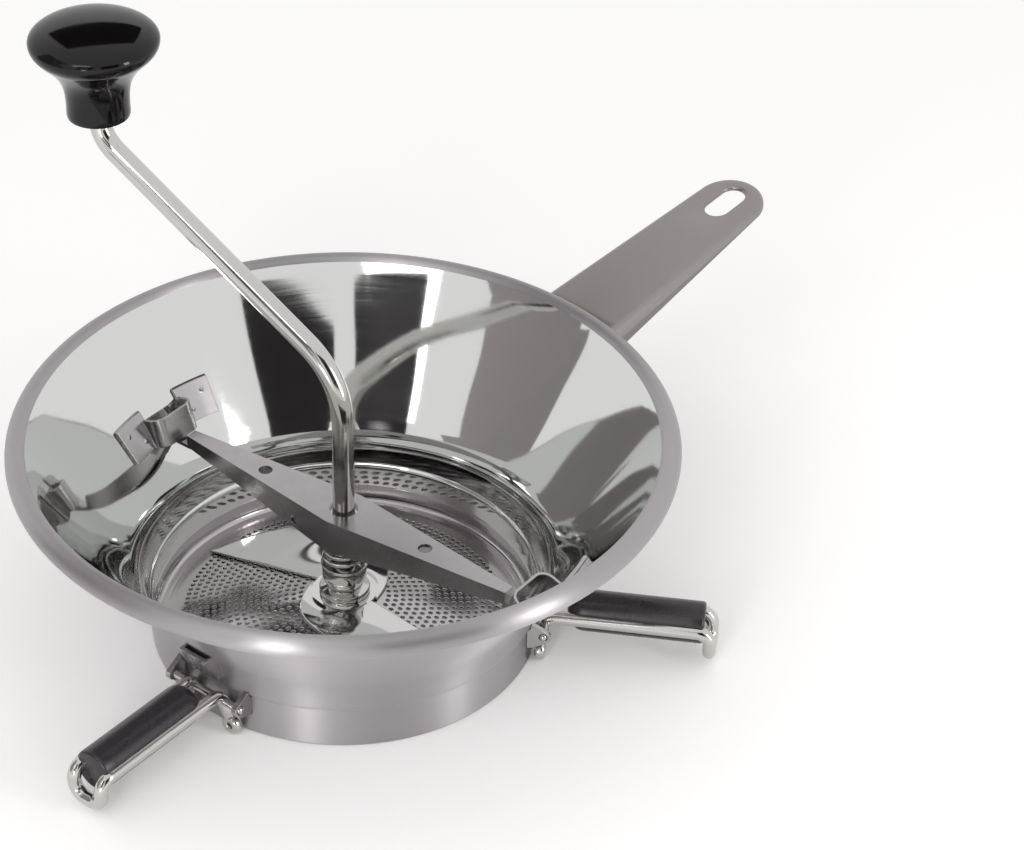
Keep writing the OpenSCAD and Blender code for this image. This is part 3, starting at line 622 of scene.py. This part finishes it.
rodPath = turn([(x, 0, z) for x, z in crankPath()], crank["turn"])
rodR = crank["rod"] / 2
rodRadii = [rodR - crank["footEdge"]] + [rodR] * (len(rodPath) - 1)
rod = sweep("crankRod", rodPath, rodRadii, platedWire, 40)
settle(rod, "crank", "bright_wire", "crank_rod")
pilotR, pilotFoot, pilotTop, pilotEdge = crank["pilot"] / 2, 9.9, 12.6, 0.4
pilotProfile = [(0, pilotFoot), (pilotR - pilotEdge, pilotFoot), (pilotR, pilotFoot + pilotEdge),
                (pilotR, pilotTop), (0, pilotTop)]
pilot = lathe("crankPilot", pilotProfile, platedWire, 40)
settle(pilot, "crank", "bright_wire")

# flared foot, narrow waist, then the collar that the spring bears on
hub = {"foot": 13.47, "base": 9.4, "collar": 8.3, "height": 12.6, "bore": 4.02}
hubProfile = [(hub["bore"], 0), (hub["base"] - 0.5, 0), (hub["base"], 0.5), (hub["base"], 2.0),
              (hub["base"] - 0.3, 2.5), (hub["base"] - 0.9, 2.7), (hub["collar"] - 1.5, 3.3),
              (hub["collar"] - 1.6, 4.2), (hub["collar"] - 1.3, 5.2), (hub["collar"] - 0.4, 6.4),
              (hub["collar"], 7.6), (hub["collar"], hub["height"] - 0.7),
              (hub["collar"] - 0.2, hub["height"] - 0.2), (hub["collar"] - 0.7, hub["height"]),
              (hub["bore"], hub["height"])]
settle(lathe("bladeHub", hubProfile, platedWire, 96, 40, (0, 0, hub["foot"])), "crank", "bright_wire", "blade_hub")
softened("lower_washer", "crank", "bright_wire", platedWire, 0.25)
softened("upper_washer", "crossbar_body", "bright_wire", platedWire, 0.25)
softened("knob_retainer", "crank", "bright_wire", platedWire, 0.15)

blade = {"reach": 63, "sheet": 1.2, "lift": 9, "sweep": 168, "root": 8, "least": 13, "power": 1.8, "plate": 12}


def smoothStep(t):
    s = min(max(t, 0), 1)
    return s * s * (3 - 2 * s)


def bladePiece():
    verts, faces = [], []
    rows, cols = 96, 22
    for side in (0, 180):
        base = len(verts)
        for i in range(rows + 1):
            s = i / rows
            reach = blade["least"] + (blade["reach"] - blade["least"]) * (1 - s) ** blade["power"]
            for j in range(cols + 1):
                r = blade["root"] + (reach - blade["root"]) * j / cols
                a = math.radians(side + crank["turn"] - blade["sweep"] * s)
                gain = blade["lift"] * smoothStep(2.2 * s) * smoothStep((r - blade["plate"]) / 24)
                verts.append((r * math.cos(a), r * math.sin(a), discTop(max(r, disc["cap"])) + 0.3 + gain))
        for i in range(rows):
            for j in range(cols):
                a = base + i * (cols + 1) + j
                b = a + cols + 1
                faces.append((a, b, b + 1, a + 1))
    made = linkMesh("bladeWings", verts, faces, polishedBlade, None, 60)
    if made.data.polygons[0].normal.z < 0:
        made.data.flip_normals()
    wall = made.modifiers.new("sheet", "SOLIDIFY")
    wall.thickness = blade["sheet"] * mm
    wall.offset = 1
    edge = made.modifiers.new("edge", "BEVEL")
    edge.width = 0.3 * mm
    edge.segments = 2
    edge.limit_method = "ANGLE"
    edge.angle_limit = math.radians(50)
    return made


settle(bladePiece(), "crank", "polished_steel", "blade")
plateBore, plateEdge, plateFoot = hub["bore"] + 0.03, blade["plate"], 12.26
plateProfile = [(plateBore, 0), (plateEdge, 0), (plateEdge + 0.2, 0.4), (plateEdge, blade["sheet"]),
                (plateBore, blade["sheet"])]
plate = lathe("bladePlate", plateProfile, polishedBlade, 96, 40, (0, 0, plateFoot))
settle(plate, "crank", "polished_steel")
say("crank bent and blade formed")


knob = {"widest": 23.1, "stem": 11.4, "height": 36.7, "wideAt": 29.1}


def cubic(a, b, c, d, n):
    out = []
    for i in range(n + 1):
        t = i / n
        u = 1 - t
        out.append(tuple(u ** 3 * a[k] + 3 * u * u * t * b[k] + 3 * u * t * t * c[k] + t ** 3 * d[k] for k in (0, 1)))
    return out


def knobPiece():
    w, s = knob["widest"], knob["stem"]
    low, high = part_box("knob")
    dome = knob["height"] - knob["wideAt"]
    # hollow foot, waisted stem, rounded widest edge and domed top
    profile = [(4.1, 0.6), (s - 1.6, 0.6), (s - 1.4, 0.1), (s - 0.9, 0), (s - 0.25, 0.25)]
    profile += cubic((s, 1), (s - 0.4, 13), (s + 1, 15.5), (w - 4.2, 22.5), 24)
    profile += cubic((w - 3, 23.6), (w - 0.5, 26), (w, 27.2), (w, knob["wideAt"]), 14)
    profile += [(w * math.cos(math.radians(a)), knob["wideAt"] + dome * math.sin(math.radians(a)))
                for a in range(5, 91, 5)]
    profile += [(0, 30), (4.1, 30)]
    middle = (low + high) / 2
    return lathe("knobBody", profile, glossPhenolic, 160, 50, (middle.x / mm, middle.y / mm, low.z / mm))


settle(knobPiece(), "knob_body", "gloss_black", "knob")
softened("knob_bush", "knob_body", "black_sleeve", dippedVinyl, 0.3)
say("knob turned")


softened("crossbar", "crossbar_body", "polished_steel", brightPressed, 0.55)

spring = {"wire": 1.8, "lowDiameter": 17.4, "highDiameter": 13.2, "turns": 7, "from": 27.49, "to": 48.3, "press": 3.5}


def springPiece():
    wireR = spring["wire"] / 2
    lowR, highR = spring["lowDiameter"] / 2 - wireR, spring["highDiameter"] / 2 - wireR
    rise = spring["to"] - spring["from"] - spring["wire"]
    path = []
    steps = spring["turns"] * 48
    for i in range(steps + 1):
        t = i / steps
        r = highR + (lowR - highR) * (1 - t) ** 3
        a = 2 * math.pi * spring["turns"] * t
        path.append((r * math.cos(a), r * math.sin(a), spring["from"] + wireR + rise * t))
    return sweep("pressureSpring", path, wireR, platedWire, 16)


coil = settle(springPiece(), "crossbar_body", "bright_wire", "pressure_spring")
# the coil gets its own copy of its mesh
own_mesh(coil)
say("crossbar and spring fitted")


leg = {
    "turns": {"a": 186.6, "b": 306.6, "c": 66.6}, "wire": 5, "gap": 12.8, "height": 16,
    "stopX": 74.6, "rootBend": 5, "reach": 138, "tipBend": 5, "drop": 11,
    "splay": 22, "eyeRadius": 3.8, "eyeThick": 3.6, "eyeHole": 2.5, "eyeDrop": 12.62,
    "axle": 3, "axleHalf": 17.61, "sleeve": 15.5, "sleeveFrom": 83, "sleeveTo": 133, "groove": 1.2,
}


def rootPoint(x, down):
    # a point of the prong's root, which leans outwards as it goes down
    splay = math.radians(leg["splay"])
    return (x, -leg["gap"] / 2 - down * math.sin(splay), leg["height"] - down * math.cos(splay))


def legPath():
    y, bend = leg["gap"] / 2, leg["tipBend"]
    rootX = leg["stopX"] + leg["rootBend"]
    tipX, tipZ = leg["reach"] - leg["wire"] / 2, leg["height"] - leg["drop"]
    half = [rootPoint(leg["stopX"], leg["eyeDrop"] - rise) for rise in (2.2, 3.4, 4.6, 5.8)]
    half += [rootPoint(x, -z) for x, z in arcPoints(rootX, -leg["rootBend"], leg["rootBend"], 180, 90, 14)]
    half += [(x, -y, z) for x, z in arcPoints(tipX - bend, leg["height"] - bend, bend, 90, 0, 12)]
    for i in range(0, 13):
        a = math.pi / 2 * i / 12
        half.append((tipX, -y + bend - bend * math.cos(a), tipZ + bend - bend * math.sin(a)))
    return half + [(x, -py, z) for x, py, z in half[::-1]]


def legEye(name, azimuth, side):
    # the wire's end, hammered flat and punched
    r, hole, half = leg["eyeRadius"], leg["eyeHole"] / 2, leg["eyeThick"] / 2
    profile = [(hole, -half + 0.3), (hole + 0.3, -half), (r - 0.8, -half), (r - 0.2, -half + 0.4), (r, -half + 1.2),
               (r, half - 1.2), (r - 0.2, half - 0.4), (r - 0.8, half), (hole + 0.3, half), (hole, half - 0.3)]
    made = lathe(name, profile, platedWire, 40, 50)
    place = Matrix.Rotation(math.radians(azimuth), 4, "Z")
    place = place @ Matrix.Translation((leg["stopX"] * mm, side * leg["gap"] / 2 * mm, leg["height"] * mm))
    place = place @ Matrix.Rotation(math.radians(side * leg["splay"]), 4, "X")
    place = place @ Matrix.Translation((0, 0, -leg["eyeDrop"] * mm)) @ Matrix.Rotation(math.pi / 2, 4, "Y")
    made.data.transform(place)
    return made


def sleevePiece(name, azimuth):
    # oval in section, with a shallow groove down each side where the wire shows
    verts, uvs, faces = [], [], []
    r = leg["sleeve"] / 2
    stations = []
    for i in range(13):
        a = math.radians(90 * i / 12)
        stations.append((leg["sleeveFrom"] + r * 0.8 * (1 - math.cos(a)), math.sin(a)))
    stations += [(leg["sleeveFrom"] + r * 0.8 + (leg["sleeveTo"] - leg["sleeveFrom"] - r * 0.8 - 1.2) * i / 10, 1)
                 for i in range(1, 11)]
    stations += [(leg["sleeveTo"] - 0.7, 0.985), (leg["sleeveTo"] - 0.25, 0.94), (leg["sleeveTo"], 0.86)]
    around = 96
    for x, k in stations:
        for j in range(around):
            a = 2 * math.pi * j / around
            fromSide = min(abs(math.degrees(math.atan2(math.sin(a), abs(math.cos(a))))), 90)
            dip = leg["groove"] / (1 + math.exp((fromSide - 19) / 1.6))
            radius = (r - dip) * k
            verts.append((x, radius * math.cos(a), leg["height"] + radius * math.sin(a)))
            uvs.append((j / around, x * mm))
    n = len(stations)
    for i in range(n - 1):
        for j in range(around):
            k = (j + 1) % around
            a, b = i * around, (i + 1) * around
            faces.append((a + j, b + j, b + k, a + k))
    faces.append(tuple(range(around)))
    faces.append(tuple((n - 1) * around + j for j in range(around - 1, -1, -1)))
    return linkMesh(name, turn(verts, azimuth), faces, dippedVinyl, uvs, 50)


for letter, azimuth in leg["turns"].items():
    path = turn(legPath(), azimuth)
    fullR = leg["wire"] / 2
    thin = [fullR - 0.75, fullR - 0.55, fullR - 0.2]  # narrows into the hammered eye
    wire = sweep("legWire_" + letter, path, thin + [fullR] * (len(path) - 6) + thin[::-1], platedWire, 28)
    settle(wire, "leg_" + letter, "bright_wire", "leg_wire_" + letter)
    for side in (-1, 1):
        settle(legEye(f"legEye_{letter}_{side + 1}", azimuth, side), "leg_" + letter, "bright_wire")
    axleX = leg["stopX"] + leg["rootBend"] * (1 - math.cos(math.pi / 4))
    axleZ = leg["height"] - leg["rootBend"] * (1 - math.sin(math.pi / 4))
    reach, r = leg["axleHalf"], leg["axle"] / 2
    heads = [(reach - r * (1 - math.sin(math.radians(a))), max(r * math.cos(math.radians(a)), 0.1))
             for a in range(0, 91, 15)]
    stops = [(-y, size) for y, size in heads[::-1]] + heads
    axlePath = turn([(axleX, y, axleZ) for y, size in stops], azimuth)
    axle = sweep("legAxle_" + letter, axlePath, [size for y, size in stops], platedWire, 28, 50)
    settle(axle, "leg_" + letter, "bright_wire")
    settle(sleevePiece("legSleeve_" + letter, azimuth), "leg_" + letter, "black_sleeve", "leg_sleeve_" + letter)
    softened("leg_lugs_" + letter, "bowl_body", "polished_steel", brightPressed, 0.7)
    softened("leg_bracket_" + letter, "bowl_body", "polished_steel", brightPressed, 0.25)
say("legs fitted")


view = {"azimuth": -42.5, "elevation": 36.87, "distance": 1.0, "target": (0, 0, 0.06), "roll": 0.7,
        "focalPixels": 2772, "centre": (343.5, 488.5), "image": (1024, 850), "sensor": 36}
studio = {
    "paper": "#f4f3f2", "paperGlow": 0.2, "shadeReach": 0.16, "ambient": 0.74, "floorSide": 40,
    "felts": {"black": "#241e21", "grey": "#9c9597"},
    # each lamp: watts, size, then how far right, towards the viewer and up it stands, in metres
    "lamps": {
        "softKey": (2.6, (0.6, 0.4), (-0.45, 0.95, 1.0)), "stripLeft": (2.4, (0.1, 0.5), (-0.3, 0.85, 0.3)),
        "stripRight": (2.2, (0.16, 0.5), (0.8, 0.5, 0.32)),
    },
    # each card: its felt, width, height, then its place in the same way
    "cards": {
        "cardLeft": ("black", 0.27, 0.4, (-0.2, 0.5, 0.34)), "cardRight": ("black", 0.34, 0.4, (0.225, 0.5, 0.33)),
        "cardBack": ("black", 0.3, 0.2, (-0.083, -0.31, 0.47)), "cardSide": ("grey", 0.55, 0.3, (-0.62, 0.1, 0.22)),
        "cardHigh": ("grey", 0.34, 0.3, (-0.48, 0.04, 0.42)),
    },
}
azimuth, elevation = math.radians(view["azimuth"]), math.radians(view["elevation"])
rightward = Vector((math.cos(azimuth), math.sin(azimuth), 0))
viewerward = Vector((math.sin(azimuth), -math.cos(azimuth), 0))
scene = bpy.context.scene


def studioPlace(right, near, up):
    return rightward * right + viewerward * near + Vector((0, 0, up))


def aimed(location, target):
    return (Vector(target) - location).to_track_quat("-Z", "Y").to_euler()


def stagePlane(name, width, height, material):
    made = linkMesh(name, [(-500, -500, 0), (500, -500, 0), (500, 500, 0), (-500, 500, 0)], [(0, 1, 2, 3)], material)
    made.scale = (width, height, 1)  # the plane is one metre square before this
    return made


def seenOrMirrored(tree):
    # 1 for what the camera, polished metal or glass looks at, 0 for light that falls on the object
    ray = addNode(tree, "ShaderNodeLightPath")
    seen = addNode(tree, "ShaderNodeMath", {}, {0: ray.outputs["Is Camera Ray"], 1: ray.outputs["Is Glossy Ray"]},
                   operation="MAXIMUM")
    return addNode(tree, "ShaderNodeMath", {}, {0: seen.outputs[0], 1: ray.outputs["Is Transmission Ray"]},
                   operation="MAXIMUM").outputs[0]


def paperSweep():
    # white paper; its glow fades near the object, so the contact shadow stays
    made, tree, shader = newMaterial("paperSweepWhite")
    shader.inputs["Base Color"].default_value = toLinear(studio["paper"])
    shader.inputs["Roughness"].default_value = 0.8
    shader.inputs["Emission Color"].default_value = (1, 1, 1, 1)
    openness = addNode(tree, "ShaderNodeAmbientOcclusion", {"Distance": studio["shadeReach"]}, samples=8)
    glow = addNode(tree, "ShaderNodeMath", {1: studio["paperGlow"]}, {0: openness.outputs["AO"]},
                   operation="MULTIPLY")
    shown = addNode(tree, "ShaderNodeMath", {}, {0: glow.outputs[0], 1: seenOrMirrored(tree)}, operation="MULTIPLY")
    tree.links.new(shown.outputs[0], shader.inputs["Emission Strength"])
    return made


def feltCard(shade):
    made, tree, shader = newMaterial("feltCard_" + shade)
    shader.inputs["Base Color"].default_value = toLinear(studio["felts"][shade])
    shader.inputs["Roughness"].default_value = 0.95
    return made


stagePlane("floor", studio["floorSide"], studio["floorSide"], paperSweep())
felts = {shade: feltCard(shade) for shade in studio["felts"]}
for name, (shade, width, height, place) in studio["cards"].items():
    card = stagePlane(name, width, height, felts[shade])
    card.location = studioPlace(*place)
    card.rotation_euler = aimed(card.location, view["target"])
    # only polished metal sees the cards
    card.visible_camera = card.visible_diffuse = card.visible_shadow = False

world = bpy.data.worlds.new("studioWorld")
scene.world = world
world.use_nodes = True
worldTree = world.node_tree
worldTree.nodes.clear()
worldOut = addNode(worldTree, "ShaderNodeOutputWorld")
white = addNode(worldTree, "ShaderNodeBackground", {"Color": (1, 1, 1, 1), "Strength": 1.0})
ambient = addNode(worldTree, "ShaderNodeBackground", {"Color": (1, 1, 1, 1), "Strength": studio["ambient"]})
worldMix = addNode(worldTree, "ShaderNodeMixShader", {}, {0: seenOrMirrored(worldTree), 1: ambient.outputs[0],
                                                          2: white.outputs[0]})
worldTree.links.new(worldMix.outputs[0], worldOut.inputs["Surface"])

for name, (watts, (width, height), place) in studio["lamps"].items():
    lampData = bpy.data.lights.new(name, "AREA")
    lampData.shape = "RECTANGLE"
    lampData.size, lampData.size_y = width, height
    lampData.energy = watts
    lamp = bpy.data.objects.new(name, lampData)
    lamp.location = studioPlace(*place)
    lamp.rotation_euler = aimed(lamp.location, view["target"])
    scene.collection.objects.link(lamp)

back = viewerward * math.cos(elevation) + Vector((0, 0, math.sin(elevation)))
cameraData = bpy.data.cameras.new("camera")
camera = bpy.data.objects.new("camera", cameraData)
scene.collection.objects.link(camera)
scene.camera = camera
cameraData.sensor_width = view["sensor"]
cameraData.lens = view["focalPixels"] / view["image"][0] * cameraData.sensor_width
cameraData.shift_x = (view["image"][0] / 2 - view["centre"][0]) / view["image"][0]
cameraData.shift_y = (view["centre"][1] - view["image"][1] / 2) / view["image"][0]
look = (-back).to_track_quat("-Z", "Y").to_matrix().to_4x4()
camera.matrix_world = (Matrix.Translation(Vector(view["target"]) + back * view["distance"]) @ look
                       @ Matrix.Rotation(math.radians(-view["roll"]), 4, "Z"))

scene.view_settings.view_transform = "Standard"
scene.cycles.max_bounces = 16
scene.cycles.glossy_bounces = 12
say("studio ready")
